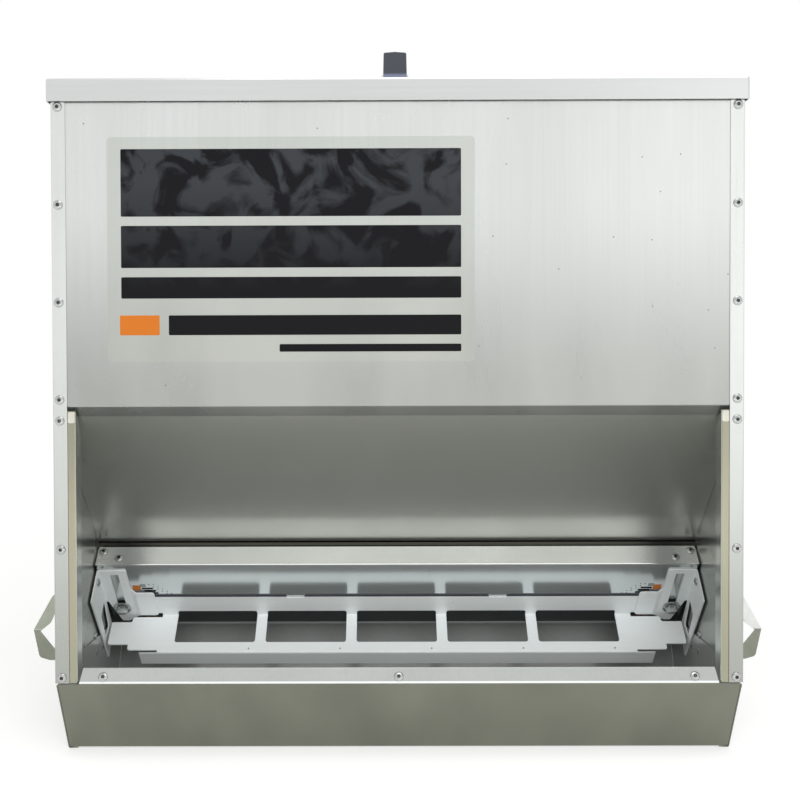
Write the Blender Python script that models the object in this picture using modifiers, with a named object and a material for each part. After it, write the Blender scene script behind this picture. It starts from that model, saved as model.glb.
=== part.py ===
"""Stainless-steel hopper feeder for livestock, folded and riveted from sheet.

Feed is tipped in under the hinged lid, slides down the sloping front sheet and
falls behind the chute panel. A restrictor plate with five windows slides on two
slotted brackets and sets how much feed runs into the trough.

World frame: metres, +Z up, the open front faces -Y, the feeder stands on Z = 0.
Depths are measured back from the outer face of the front flanges.
"""
import math

import bmesh
import bpy
from mathutils import Matrix, Vector

# Sheet stock and fits
SHEET = 0.0015              # body and lid sheet
SLIDE_SHEET = 0.0020        # restrictor and bracket sheet
HANDLE_PLATE = 0.0050       # carry handle plate
BEND = 0.0006               # inner bend radius
FIT = 0.0003                # gap between pieces that touch

# Body
BODY_WIDTH = 0.906          # over the side panels
BODY_DEPTH = 0.400          # over the front and rear flanges
RIM_HEIGHT = 0.8942         # top edge of the hopper
SIDE_BOTTOM = 0.104         # lower edge of the side panels
FLANGE_WIDTH = 0.019        # side panels' turned-in flanges
PANEL_BOTTOM = 0.469        # lower edge of the front panel
RIM_HEM = 0.015             # front and rear panels' turned-in top edge
SLOPE_RETURN = 0.020        # front panel's lip under the slope sheet

# Slope sheet, between the front panel and the throat
SLOPE_BEHIND = 0.0305       # its lower end, back from the ledge's front edge
SLOPE_END_HEIGHT = 0.2562
SLOPE_LAP = 0.006           # how far its top edge lies down the front panel's lip
SLOPE_FOOT = 0.014          # foot that lies on the chute panel's back

# Chute panel with its ledge
LEDGE_DEPTH = 0.2035        # front edge of the ledge
LEDGE_HEIGHT = 0.2280
LEDGE_LENGTH = 0.0350       # it ends just below the slope sheet
LEDGE_ANGLE = math.radians(40)
LEDGE_SIDE_GAP = 0.0022     # between the ledge's ends and the side panels
CHUTE_ANGLE = math.radians(-45)
CHUTE_LENGTH = 0.1579

# Ledge brackets, on the side panels behind the ledge
BRACKET_LEG = 0.052         # leg behind the ledge
BRACKET_SIDE_LEG = 0.008    # leg on the side panel
BRACKET_FOOT = 0.005        # its lower edge, up from the ledge's front edge
BRACKET_HEAD = 0.0030       # clearance below the ledge's top edge
BRACKET_SLANT = math.tan(math.radians(30))

# Trough
FLOOR_FRONT = 0.0581        # depth of the floor's front edge
REAR_KNEE = 0.1030          # height where the rear wall turns upright
NOSE_HEIGHT = 0.1025
LIP_LENGTH = 0.0247
LIP_HEM = 0.014
LIP_CLEARANCE = 0.0020      # between the lip's ends and the edge channels
LIP_TAPER = 0.0035          # how much narrower the lip is at its top
TROUGH_ANGLE = math.radians(60)
END_OVERLAP = 0.0125        # trough's sides and rear wall, up inside the body
FOOT_WIDTH = 0.013
STIFFENER_WIDTH = 0.014
STIFFENER_RISE = 0.003      # its lower edge, up from the nose
STIFFENER_INSET = 0.0205    # its ends, in from the lip's
STIFFENER_THICK = 0.003

# Edge channels beside the bay
CHANNEL_WIDTH = 0.0295      # face towards the bay, in from the body's side
CHANNEL_RETURN = 0.025
CHANNEL_DROP = 0.0065       # gap below the front panel

# Restrictor, lengths along the sheet from its upper crease and widths in from the body's side
FLANGE_RUN = 0.0504
WINDOW_PLATE_RUN = 0.0725
LOWER_FLANGE_RUN = 0.0314
PLATE_ANGLE = math.radians(40)
FLANGE_IN = 0.0567
LOWER_FLANGE_IN = 0.0601
RELIEF_IN = 0.0873          # inner end of the relief cuts at the creases
RELIEF_DROP = 0.0046
SHOULDER_IN = 0.0415
TAB_IN = 0.0100
TAB_TOP = 0.0144
TAB_BOTTOM = 0.0565
WINDOW_COUNT = 5
WINDOW_PITCH = 0.1397
WINDOW_WIDTH = 0.1236
WINDOW_RISE = 0.0101        # up the flange
WINDOW_DROP = 0.0528        # down the plate
WINDOW_ROUND = 0.0040
PILOT_RADIUS = 0.0016
PILOT_SHIFT = 0.0530        # from the middle of a window
PILOT_RISE = 0.0311
PILOT_DROP = 0.0647
NOTCH_CENTRE = 0.1554
NOTCH_WIDTH = 0.0314
NOTCH_DEEP = 0.0045
NOTCH_SLANT = 0.003

# Slotted brackets, lengths down the slide and widths in from the body's side
BRACKET_DEPTH = 0.2072      # depth where the lengths down the slide start
BRACKET_TOP = 0.0075        # top edge
WING_IN = 0.0040            # side wing's outer face
BRACKET_IN = 0.0471         # slot plate's inner edge
BRACKET_RUN = 0.1397
CREASE_RUN = 0.1221         # down to the restrictor's upper crease
LAP_RUN = 0.0592            # height of the tab that laps over the restrictor
LAP_IN = 0.0820
JOGGLE = 0.0070
JOGGLE_DROP = 0.008         # height of the joggle's slanted edge
BRACKET_END_WIDTH = 0.011
WING_RUN = 0.1589
WING_WIDTH = 0.0577
WING_FOLD_RUN = 0.0840
WING_NOTCH = 0.004
HAND_HOLE_TOP = 0.0709
HAND_HOLE_BOTTOM = 0.1255
HAND_HOLE_WIDTH = 0.0294
HAND_HOLE_INSET = 0.009     # from the fold
HAND_HOLE_NEAR_SLANT = 0.011
HAND_HOLE_FAR_SLANT = 0.007
HAND_HOLE_STEP = 0.006      # how much shorter it is away from the fold
WING_END_SLANT = 0.012
WING_RIVET_RUN = 0.020
WING_RIVET_STAND = 0.014    # from the chute panel

# Clamp bolts, M10
BOLT_RADIUS = 0.0050
BOLT_RUN = 0.1029           # down the slide
BOLT_IN = 0.0272            # in from the body's side
HEX_RADIUS = 0.0094
HEAD_HEIGHT = 0.0060
WASHER_RADIUS = 0.0135
WASHER_THICK = 0.0020
NUT_HEIGHT = 0.0080
BOLT_TAIL = 0.003
BOLT_HOLE = 0.0056
SLOT_WIDTH = 0.0130
TRAVEL_DOWN = 0.080         # how far the restrictor slides
TRAVEL_UP = 0.005
SLOT_PLAY = 0.0007

# Lid
LID_GAP = 0.0033            # between the lid's skirt and the body
LID_SKIRT = 0.0299
LID_REST = 0.0006           # between the lid's underside and the rim
LID_ROUND = 0.0030
GRIP_X = -0.0028
GRIP_WIDTH = 0.0312
GRIP_LENGTH = 0.090
GRIP_HEIGHT = 0.0345
GRIP_DEPTH = 0.0120
GRIP_TAPER = 0.0007
GRIP_CROWN = 0.0012
SADDLE_CHEEK = 0.0070
SADDLE_INSET = 0.003        # saddle's ends, in from the grip's

# Lid hinges
HINGE_IN = 0.153            # middle of a hinge, in from the body's side
HINGE_WIDTH = 0.082
KNUCKLES = 5
KNUCKLE_RADIUS = 0.0042
KNUCKLE_BORE = 0.0024
KNUCKLE_GAP = 0.0004
PIN_RADIUS = 0.0020
PIN_HEAD_RADIUS = 0.0032
PIN_HEAD = 0.0012
LEAF_THICK = 0.0015
LEAF_HEIGHT = 0.022
LEAF_CRANK = 0.0065
LEAF_START = 0.0010         # leaf's end, from the pin's height

# Carry handles
HANDLE_DEPTH = 0.195
HANDLE_REACH = 0.0860
HANDLE_TOP = 0.198
HANDLE_CREASE = 0.1330
HANDLE_BOTTOM = 0.0825
HANDLE_BASE = 0.066
HANDLE_FOOT_IN = 0.018      # outline, in from its reach and up from its foot or crease
HANDLE_HEEL_IN = 0.003
HANDLE_HEEL_RISE = 0.005
HANDLE_SHOULDER_IN = 0.0235
HANDLE_SHOULDER_RISE = 0.048
GRASP_ROOT = 0.016          # hand hole
GRASP_FOOT_IN = 0.026
GRASP_FOOT_RISE = 0.0185
GRASP_FLOOR_RISE = 0.020
GRASP_NOSE_IN = 0.0085
GRASP_NOSE_DROP = 0.0035
GRASP_CHEEK_RISE = 0.0085
GRASP_NECK_IN = 0.030
GRASP_NECK_RISE = 0.026
GRASP_ROOT_RISE = 0.036
HANDLE_LEAN = math.tan(math.radians(22))

# Rivets
RIVET_RADIUS = 0.0062
RIVET_HEIGHT = 0.0024
MANDREL_RADIUS = 0.0020
MANDREL_SINK = 0.0012
RIVET_INSET = 0.0093        # flange rivets, in from the body's side
UPPER_ROW_COUNT = 4         # beside the front panel
UPPER_ROW_TOP = 0.0342      # below the rim
UPPER_ROW_BOTTOM = 0.0086   # above the front panel's lower edge
LOWER_ROW_COUNT = 3         # beside the bay
LOWER_ROW_TOP = 0.0124      # below the edge channel's top
LOWER_ROW_BOTTOM = 0.0074   # above the side panel's lower edge
LIP_RIVET_INSET = 0.031
LEDGE_RIVETS = ((0.0100, 0.0254), (0.0349, 0.0125))   # in from the side, up the ledge

# Corner radii of the cut blanks
CORNER_FINE = 0.001
CORNER_TIGHT = 0.002
CORNER_SMALL = 0.003
CORNER = 0.004
CORNER_SLOT = 0.005
CORNER_WIDE = 0.006
CORNER_BROAD = 0.008

MERGE = 0.00001
ROUND_SIDES = 12
RIVET_SIDES = 10
PILOT_SIDES = 6
HEX_SIDES = 6

# Places worked out from the sizes
ROOT_HALF = math.sqrt(0.5)
HALF_BODY = BODY_WIDTH / 2
HALF_INSIDE = HALF_BODY - SHEET - FIT
HALF_LEDGE = HALF_INSIDE - LEDGE_SIDE_GAP
SLOPE_END_DEPTH = LEDGE_DEPTH + SLOPE_BEHIND
SECOND_FACE = SHEET + FIT
REAR_FACE = BODY_DEPTH - SECOND_FACE
LID_TOP = RIM_HEIGHT + LID_REST + SHEET
LID_REACH = LID_GAP + SHEET
HINGE_FACE = BODY_DEPTH + LID_REACH + FIT
PIN_DEPTH = HINGE_FACE + KNUCKLE_RADIUS
PIN_HEIGHT = LID_TOP - LID_SKIRT - KNUCKLE_RADIUS - FIT
CENTRE_DEPTH = (PIN_DEPTH + KNUCKLE_RADIUS - LID_REACH) / 2
CHANNEL_TOP = PANEL_BOTTOM - CHANNEL_DROP
CHANNEL_INNER = HALF_BODY - CHANNEL_WIDTH
LIP_HALF_WIDTH = CHANNEL_INNER - LIP_CLEARANCE
TROUGH_END_TOP = SIDE_BOTTOM + END_OVERLAP
BOLT_X = HALF_BODY - BOLT_IN
CHUTE_SUM = LEDGE_DEPTH + LEDGE_HEIGHT
SLIDE_SUM = CHUTE_SUM - FIT / ROOT_HALF


for old in list(bpy.data.objects):
    bpy.data.objects.remove(old, do_unlink=True)
parts = bpy.data.collections.new("livestock_feeder")
cutters = bpy.data.collections.new("cutters")
bpy.context.scene.collection.children.link(parts)
bpy.context.scene.collection.children.link(cutters)


# Materials
def finish(name, colour, roughness, metallic):
    material = bpy.data.materials.new(name)
    material.use_nodes = True
    shader = material.node_tree.nodes["Principled BSDF"]
    shader.inputs["Base Color"].default_value = (*colour, 1)
    shader.inputs["Roughness"].default_value = roughness
    shader.inputs["Metallic"].default_value = metallic
    return material


def sheet_steel(name):
    return finish(name, (0.62, 0.64, 0.62), 0.32, 1.0)


def bright_steel(name):
    return finish(name, (0.55, 0.56, 0.56), 0.22, 1.0)


def black_rubber(name):
    return finish(name, (0.035, 0.040, 0.045), 0.60, 0.0)


# Views that the outlines are drawn in
def side_view(depth, height, across):
    return Vector((across, depth - CENTRE_DEPTH, height))


def plan_view(across, depth, height):
    return Vector((across, depth - CENTRE_DEPTH, height))


def front_view(across, height, depth):
    return Vector((across, depth - CENTRE_DEPTH, height))


def slide_view(across, stand_off, run):
    """On the slide: across, off the chute panel towards the trough, and down the slide."""
    depth = BRACKET_DEPTH + (run - stand_off) * ROOT_HALF
    height = SLIDE_SUM - BRACKET_DEPTH - (run + stand_off) * ROOT_HALF
    return Vector((across, depth - CENTRE_DEPTH, height))


def mirrored(view):
    """The same view for the piece on the left."""
    def left(a, b, c):
        spot = view(a, b, c)
        return Vector((-spot.x, spot.y, spot.z))
    return left


SIDES = (("right", 1), ("left", -1))


def on_side(view, hand):
    return view if hand > 0 else mirrored(view)


def along(start, angle, length):
    """Point a length away from start, at an angle above the way back."""
    return start[0] + math.cos(angle) * length, start[1] + math.sin(angle) * length


def spread(first, last, count):
    return [first + (last - first) * i / (count - 1) for i in range(count)]


# Pieces
def add_piece(name, bm, material):
    """Makes a finished mesh one object of the feeder."""
    bmesh.ops.remove_doubles(bm, verts=bm.verts[:], dist=MERGE)
    bmesh.ops.recalc_face_normals(bm, faces=bm.faces[:])
    mesh = bpy.data.meshes.new(name)
    bm.to_mesh(mesh)
    bm.free()
    mesh.materials.append(material)
    obj = bpy.data.objects.new(name, mesh)
    parts.objects.link(obj)
    return obj


def rounded(points, steps=3):
    """Outline whose points are (x, y), or (x, y, radius) where a corner is rounded."""
    outline = []
    for index, point in enumerate(points):
        here = Vector(point[:2])
        radius = point[2] if len(point) > 2 else 0
        if radius == 0:
            outline.append(here)
            continue
        before = (Vector(points[index - 1][:2]) - here).normalized()
        after = (Vector(points[(index + 1) % len(points)][:2]) - here).normalized()
        half = before.angle(after) / 2
        centre = here + (before + after).normalized() * radius / math.sin(half)
        first = here + before * radius / math.tan(half) - centre
        last = here + after * radius / math.tan(half) - centre
        turn = math.atan2(first.x * last.y - first.y * last.x, first.dot(last))
        for step in range(steps + 1):
            outline.append(centre + Matrix.Rotation(turn * step / steps, 2) @ first)
    return outline


def circle(x, y, radius, sides):
    return [(x + radius * math.cos(math.tau * i / sides), y + radius * math.sin(math.tau * i / sides))
            for i in range(sides)]


def flat_blank(outline, holes, thickness):
    """Flat blank with its holes, from a filled curve; its lower face is at w = 0."""
    curve = bpy.data.curves.new("blank", "CURVE")
    curve.dimensions = "2D"
    curve.fill_mode = "BOTH"
    curve.extrude = thickness / 2
    for loop in [outline] + holes:
        spline = curve.splines.new("POLY")
        spline.points.add(len(loop) - 1)
        for point, spot in zip(spline.points, loop):
            point.co = (spot[0], spot[1], 0, 1)
        spline.use_cyclic_u = True
    obj = bpy.data.objects.new("blank", curve)
    cutters.objects.link(obj)
    bpy.context.view_layer.update()
    seen = obj.evaluated_get(bpy.context.evaluated_depsgraph_get())
    mesh = bpy.data.meshes.new_from_object(seen)
    bm = bmesh.new()
    bm.from_mesh(mesh)
    bpy.data.objects.remove(obj)
    bpy.data.curves.remove(curve)
    bpy.data.meshes.remove(mesh)
    bmesh.ops.remove_doubles(bm, verts=bm.verts[:], dist=MERGE)
    bmesh.ops.translate(bm, verts=bm.verts[:], vec=(0, 0, thickness / 2))
    return bm


def bend_line(corners, thickness, side):
    """Folded path through corners, with an arc at each crease.

    Gives the stations (length along the sheet, point, normal into the metal) and the
    length at the middle of each crease and at the end. The metal lies left of the path
    where side is 1, and right of it where side is -1.
    """
    corners = [Vector(corner) for corner in corners]
    ways = [(b - a).normalized() for a, b in zip(corners, corners[1:])]
    stations = [(0.0, corners[0], ways[0])]
    creases = []
    length = 0.0
    start = corners[0]
    for corner, before, after in zip(corners[1:], ways, ways[1:]):
        turn = math.atan2(before.x * after.y - before.y * after.x, before.dot(after))
        radius = BEND + thickness if turn * side > 0 else BEND
        reach = radius * math.tan(abs(turn) / 2)
        entry = corner - before * reach
        length += (entry - start).length
        inward = Vector((-before.y, before.x)) * math.copysign(1, turn)
        steps = max(1, round(abs(turn) / math.radians(32)))
        creases.append(length + radius * abs(turn) / 2)
        for step in range(steps + 1):
            swing = Matrix.Rotation(turn * step / steps, 2)
            point = entry + inward * radius - swing @ (inward * radius)
            stations.append((length + radius * abs(turn) * step / steps, point, swing @ before))
        length += radius * abs(turn)
        start = corner + after * reach
    length += (corners[-1] - start).length
    stations.append((length, corners[-1], ways[-1]))
    creases.append(length)
    return [(u, point, Vector((-way.y, way.x)) * side) for u, point, way in stations], creases


def fold(bm, stations, view):
    """Folds a flat blank: u runs along the path, v across it, w through the sheet."""
    for u, _, _ in stations[1:-1]:
        bmesh.ops.bisect_plane(bm, geom=bm.verts[:] + bm.edges[:] + bm.faces[:], dist=1e-7,
                               plane_co=(u, 0, 0), plane_no=(1, 0, 0))
    for vert in bm.verts:
        u, v, w = vert.co
        index = 0
        while index < len(stations) - 2 and u > stations[index + 1][0] + 1e-7:
            index += 1
        start, point, normal = stations[index]
        end, next_point, next_normal = stations[index + 1]
        share = (u - start) / (end - start)
        spot = point.lerp(next_point, share) + normal.lerp(next_normal, share) * w
        vert.co = view(spot.x, spot.y, v)
    return bm


def strip(corners, side, low, high, view, holes=None, thickness=SHEET):
    """Folded sheet of one width all along its path; holes are drawn from the crease lengths."""
    stations, creases = bend_line(corners, thickness, side)
    outline = [(0, low), (creases[-1], low), (creases[-1], high), (0, high)]
    return fold(flat_blank(outline, holes(creases) if holes else [], thickness), stations, view)


def turned_piece(name, profile, sides, spot, axis, material, closed=False):
    """Turned solid from a profile of (radius, height) that runs down its outer side."""
    edges = [(i, i + 1) for i in range(len(profile) - 1)]
    if closed:
        edges.append((len(profile) - 1, 0))
    mesh = bpy.data.meshes.new(name)
    mesh.from_pydata([(radius, 0, height) for radius, height in profile], edges, [])
    mesh.materials.append(material)
    obj = bpy.data.objects.new(name, mesh)
    obj.location = spot
    obj.rotation_euler = Vector(axis).to_track_quat("Z", "Y").to_euler()
    parts.objects.link(obj)
    screw = obj.modifiers.new("turn", "SCREW")
    screw.steps = sides
    screw.render_steps = sides
    screw.use_merge_vertices = True
    screw.merge_threshold = MERGE
    return obj


def ring_profile(inner, outer, low, high):
    return [(outer, high), (outer, low), (inner, low), (inner, high)]


def rod_profile(radius, low, high):
    return [(0, high), (radius, high), (radius, low), (0, low)]


def combine(obj, other, operation):
    """Joins another solid to this one, or cuts it out."""
    modifier = obj.modifiers.new(operation.lower(), "BOOLEAN")
    modifier.operation = operation
    modifier.object = other
    other.hide_render = True
    other.display_type = "WIRE"
    parts.objects.unlink(other)
    cutters.objects.link(other)


def add_rivet(name, spot, axis):
    """Blind rivet's head: a low dome with the hole of its mandrel."""
    axis = Vector(axis).normalized()
    profile = [(0, RIVET_HEIGHT - MANDREL_SINK), (MANDREL_RADIUS * 0.8, RIVET_HEIGHT - MANDREL_SINK),
               (MANDREL_RADIUS, RIVET_HEIGHT), (RIVET_RADIUS * 0.62, RIVET_HEIGHT * 0.9),
               (RIVET_RADIUS * 0.93, RIVET_HEIGHT * 0.45), (RIVET_RADIUS, 0), (0, 0)]
    return turned_piece(name, profile, RIVET_SIDES, spot + axis * FIT, axis, bright_steel(name))


# Side panels: a flat web with a flange turned in at the front and the rear
for word, hand in SIDES:
    flange_edge = HALF_BODY - FLANGE_WIDTH
    path = [(flange_edge, 0), (HALF_BODY, 0), (HALF_BODY, BODY_DEPTH), (flange_edge, BODY_DEPTH)]
    panel = strip(path, 1, SIDE_BOTTOM, RIM_HEIGHT, on_side(plan_view, hand))
    add_piece(f"side_panel_{word}", panel, sheet_steel(f"side_panel_{word}"))

# Front panel: hemmed at the rim, with a lip under the slope sheet
slope_angle = -math.atan2(PANEL_BOTTOM - SLOPE_END_HEIGHT, SLOPE_END_DEPTH - SECOND_FACE)
panel_foot = (SECOND_FACE, PANEL_BOTTOM)
path = [(SECOND_FACE + RIM_HEM, RIM_HEIGHT), (SECOND_FACE, RIM_HEIGHT), panel_foot,
        along(panel_foot, slope_angle, SLOPE_RETURN)]
add_piece("front_panel", strip(path, 1, -HALF_INSIDE, HALF_INSIDE, side_view), sheet_steel("front_panel"))

# Slope sheet: lies on the front panel's lip, drops behind the ledge and stands on the chute panel
lap = SECOND_FACE / math.sin(-slope_angle)
drop_depth = SLOPE_END_DEPTH + lap
chute_back_sum = CHUTE_SUM + SECOND_FACE / ROOT_HALF
drop_foot = (drop_depth, chute_back_sum - drop_depth)
path = [along((SECOND_FACE + lap, PANEL_BOTTOM), slope_angle, SLOPE_LAP), (drop_depth, SLOPE_END_HEIGHT),
        drop_foot, along(drop_foot, CHUTE_ANGLE, SLOPE_FOOT)]
add_piece("hopper_slope", strip(path, 1, -HALF_INSIDE, HALF_INSIDE, side_view), sheet_steel("hopper_slope"))

# Rear panel: hemmed at the rim
path = [(REAR_FACE - RIM_HEM, RIM_HEIGHT), (REAR_FACE, RIM_HEIGHT), (REAR_FACE, SIDE_BOTTOM)]
add_piece("rear_panel", strip(path, -1, -HALF_INSIDE, HALF_INSIDE, side_view), sheet_steel("rear_panel"))

# Chute panel: ledge and the slide down to the trough, with a hole for each clamp bolt
ledge_front = (LEDGE_DEPTH, LEDGE_HEIGHT)
path = [along(ledge_front, LEDGE_ANGLE, LEDGE_LENGTH), ledge_front,
        along(ledge_front, CHUTE_ANGLE, CHUTE_LENGTH)]


def clamp_holes(creases):
    run = creases[0] + (BRACKET_DEPTH - LEDGE_DEPTH) / ROOT_HALF + BOLT_RUN
    return [circle(run, hand * BOLT_X, BOLT_HOLE, ROUND_SIDES) for _, hand in SIDES]


add_piece("chute_panel", strip(path, 1, -HALF_LEDGE, HALF_LEDGE, side_view, clamp_holes),
          sheet_steel("chute_panel"))

# Ledge brackets: angles on the side panels that the ledge is riveted to
ledge_out = Vector((0, -math.sin(LEDGE_ANGLE), math.cos(LEDGE_ANGLE)))


def ledge_view(across, behind, rise):
    """On the ledge: across, behind its face, and up it from its front edge."""
    spot = along(along(ledge_front, LEDGE_ANGLE, rise), LEDGE_ANGLE - math.pi / 2, behind)
    return side_view(*spot, across)


for word, hand in SIDES:
    path = [(HALF_INSIDE - BRACKET_LEG, SECOND_FACE), (HALF_INSIDE, SECOND_FACE),
            (HALF_INSIDE, SECOND_FACE + BRACKET_SIDE_LEG)]
    stations, creases = bend_line(path, SHEET, 1)
    head = LEDGE_LENGTH - BRACKET_HEAD
    slant = (creases[1] - creases[0]) * BRACKET_SLANT
    outline = rounded([(0, BRACKET_FOOT, CORNER_TIGHT), (creases[1], BRACKET_FOOT, CORNER_TIGHT),
                       (creases[1], head - slant, CORNER_TIGHT), (creases[0], head), (0, head, CORNER_TIGHT)])
    bracket = fold(flat_blank(outline, [], SHEET), stations, on_side(ledge_view, hand))
    add_piece(f"ledge_bracket_{word}", bracket, sheet_steel(f"ledge_bracket_{word}"))
    for number, (inset, rise) in enumerate(LEDGE_RIVETS, 1):
        spot = ledge_view(hand * (HALF_INSIDE - inset), 0, rise)
        add_rivet(f"ledge_rivet_{word}_{number}", spot, ledge_out)

# Trough shell: rear wall, floor, front wall and lip folded from one sheet
floor = SECOND_FACE
nose = (FLOOR_FRONT - (NOSE_HEIGHT - floor) / math.tan(TROUGH_ANGLE), NOSE_HEIGHT)
lip_top = along(nose, TROUGH_ANGLE, LIP_LENGTH)
trough_back = REAR_FACE - SECOND_FACE
floor_rear = trough_back - (REAR_KNEE - floor) / math.tan(TROUGH_ANGLE)
path = [(trough_back, TROUGH_END_TOP), (trough_back, REAR_KNEE), (floor_rear, floor), (FLOOR_FRONT, floor),
        nose, lip_top, along(lip_top, -TROUGH_ANGLE, LIP_HEM)]
stations, creases = bend_line(path, SHEET, -1)
shell_half = HALF_INSIDE - SECOND_FACE
nose_length, top_length, hem_length = creases[3:]
half_shell = [(0, shell_half), (nose_length, shell_half), (nose_length, LIP_HALF_WIDTH),
              (top_length, LIP_HALF_WIDTH - LIP_TAPER), (hem_length, LIP_HALF_WIDTH - 2 * LIP_TAPER)]
outline = half_shell + [(u, -v) for u, v in reversed(half_shell)]
shell = fold(flat_blank(outline, [], SHEET), stations, side_view)
add_piece("trough_shell", shell, sheet_steel("trough_shell"))

# Lip stiffener: a flat bar riveted behind the lip
lip_out = Vector((0, -math.sin(TROUGH_ANGLE), math.cos(TROUGH_ANGLE)))
bar_foot = along(along(nose, TROUGH_ANGLE, STIFFENER_RISE), TROUGH_ANGLE - math.pi / 2, SECOND_FACE)
bar_half = LIP_HALF_WIDTH - STIFFENER_INSET
bar = strip([bar_foot, along(bar_foot, TROUGH_ANGLE, STIFFENER_WIDTH)], -1, -bar_half, bar_half, side_view,
            thickness=STIFFENER_THICK)
add_piece("lip_stiffener", bar, sheet_steel("lip_stiffener"))
lip_rivet_foot = along(nose, TROUGH_ANGLE, STIFFENER_RISE + STIFFENER_WIDTH / 2)
for word, place in (("left", -1), ("middle", 0), ("right", 1)):
    spot = side_view(*lip_rivet_foot, place * (LIP_HALF_WIDTH - LIP_RIVET_INSET))
    add_rivet(f"lip_rivet_{word}", spot, lip_out)

# Trough ends: plates inside the side panels, each with a foot turned in under the floor
end_front = SECOND_FACE + CHANNEL_RETURN + SHEET + FIT
for word, hand in SIDES:
    path = [(HALF_INSIDE - FOOT_WIDTH, 0), (HALF_INSIDE, 0), (HALF_INSIDE, TROUGH_END_TOP)]
    stations, creases = bend_line(path, SHEET, 1)
    ground, top = creases
    shoulder = SIDE_BOTTOM - 2 * SHEET
    shoulder_depth = FLOOR_FRONT - shoulder / math.tan(TROUGH_ANGLE)
    outline = [(0, FLOOR_FRONT + SHEET), (ground, FLOOR_FRONT), (ground + shoulder, shoulder_depth),
               (ground + shoulder, end_front), (top, end_front), (top, trough_back),
               (ground + REAR_KNEE, trough_back), (ground, floor_rear), (0, floor_rear - SHEET)]
    end = fold(flat_blank(outline, [], SHEET), stations, on_side(front_view, hand))
    add_piece(f"trough_end_{word}", end, sheet_steel(f"trough_end_{word}"))

# Edge channels: angles behind the front flanges, beside the bay
for word, hand in SIDES:
    path = [(HALF_INSIDE, SECOND_FACE), (CHANNEL_INNER, SECOND_FACE),
            (CHANNEL_INNER, SECOND_FACE + CHANNEL_RETURN)]
    stations, creases = bend_line(path, SHEET, -1)
    slant = CHANNEL_RETURN * math.tan(-slope_angle)
    outline = rounded([(0, SIDE_BOTTOM), (creases[1], SIDE_BOTTOM, CORNER_SMALL),
                       (creases[1], CHANNEL_TOP - slant, CORNER_SMALL), (creases[0], CHANNEL_TOP),
                       (0, CHANNEL_TOP)])
    channel = fold(flat_blank(outline, [], SHEET), stations, on_side(plan_view, hand))
    add_piece(f"edge_channel_{word}", channel, sheet_steel(f"edge_channel_{word}"))

# Rivets of the front flanges: one row beside the front panel, one beside the bay
upper_row = spread(RIM_HEIGHT - UPPER_ROW_TOP, PANEL_BOTTOM + UPPER_ROW_BOTTOM, UPPER_ROW_COUNT)
lower_row = spread(CHANNEL_TOP - LOWER_ROW_TOP, SIDE_BOTTOM + LOWER_ROW_BOTTOM, LOWER_ROW_COUNT)
for word, hand in SIDES:
    for number, height in enumerate(upper_row + lower_row, 1):
        spot = front_view(hand * (HALF_BODY - RIVET_INSET), height, 0)
        add_rivet(f"front_rivet_{word}_{number}", spot, (0, -1, 0))

# Restrictor: flange on the slide, window plate and lower flange folded from one sheet
crease_depth = BRACKET_DEPTH + CREASE_RUN * ROOT_HALF
crease = (crease_depth, SLIDE_SUM - SLIDE_SHEET / ROOT_HALF - crease_depth)
plate_foot = along(crease, PLATE_ANGLE + math.pi, WINDOW_PLATE_RUN)
path = [along(crease, CHUTE_ANGLE + math.pi, FLANGE_RUN), crease, plate_foot,
        along(plate_foot, CHUTE_ANGLE, LOWER_FLANGE_RUN)]
stations, (upper, lower, end) = bend_line(path, SLIDE_SHEET, 1)
notch_near = NOTCH_CENTRE - NOTCH_WIDTH / 2
notch_far = NOTCH_CENTRE + NOTCH_WIDTH / 2
flange_half = HALF_BODY - FLANGE_IN
relief_half = HALF_BODY - RELIEF_IN
shoulder_half = HALF_BODY - SHOULDER_IN
tab_half = HALF_BODY - TAB_IN
lower_half = HALF_BODY - LOWER_FLANGE_IN
half_plate = [
    (0, notch_near), (NOTCH_DEEP, notch_near + NOTCH_SLANT), (NOTCH_DEEP, notch_far - NOTCH_SLANT),
    (0, notch_far), (0, flange_half), (upper - RELIEF_DROP, flange_half), (upper - RELIEF_DROP, relief_half),
    (upper + RELIEF_DROP, relief_half), (upper + RELIEF_DROP, shoulder_half, CORNER),
    (upper + TAB_TOP, shoulder_half, CORNER_SMALL), (upper + TAB_TOP, tab_half, CORNER_TIGHT),
    (upper + TAB_BOTTOM, tab_half, CORNER_SMALL), (upper + TAB_BOTTOM, shoulder_half),
    (lower - RELIEF_DROP, shoulder_half, CORNER_SMALL), (lower - RELIEF_DROP, relief_half),
    (lower, relief_half), (lower, lower_half), (end, lower_half)]
other_half = [(u, -v, *more) for u, v, *more in reversed(half_plate)]
holes = []
for place in spread(-1, 1, WINDOW_COUNT):
    middle = place * WINDOW_PITCH * (WINDOW_COUNT - 1) / 2
    left = middle - WINDOW_WIDTH / 2
    right = middle + WINDOW_WIDTH / 2
    top = upper - WINDOW_RISE
    bottom = upper + WINDOW_DROP
    holes.append(rounded([(top, left, WINDOW_ROUND), (bottom, left, WINDOW_ROUND),
                          (bottom, right, WINDOW_ROUND), (top, right, WINDOW_ROUND)]))
    holes.append(circle(upper - PILOT_RISE, middle - PILOT_SHIFT, PILOT_RADIUS, PILOT_SIDES))
    holes.append(circle(upper + PILOT_DROP, middle + PILOT_SHIFT, PILOT_RADIUS, PILOT_SIDES))
plate = fold(flat_blank(rounded(half_plate + other_half), holes, SLIDE_SHEET), stations, side_view)
restrictor = [add_piece("restrictor_plate", plate, sheet_steel("restrictor_plate"))]

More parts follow.
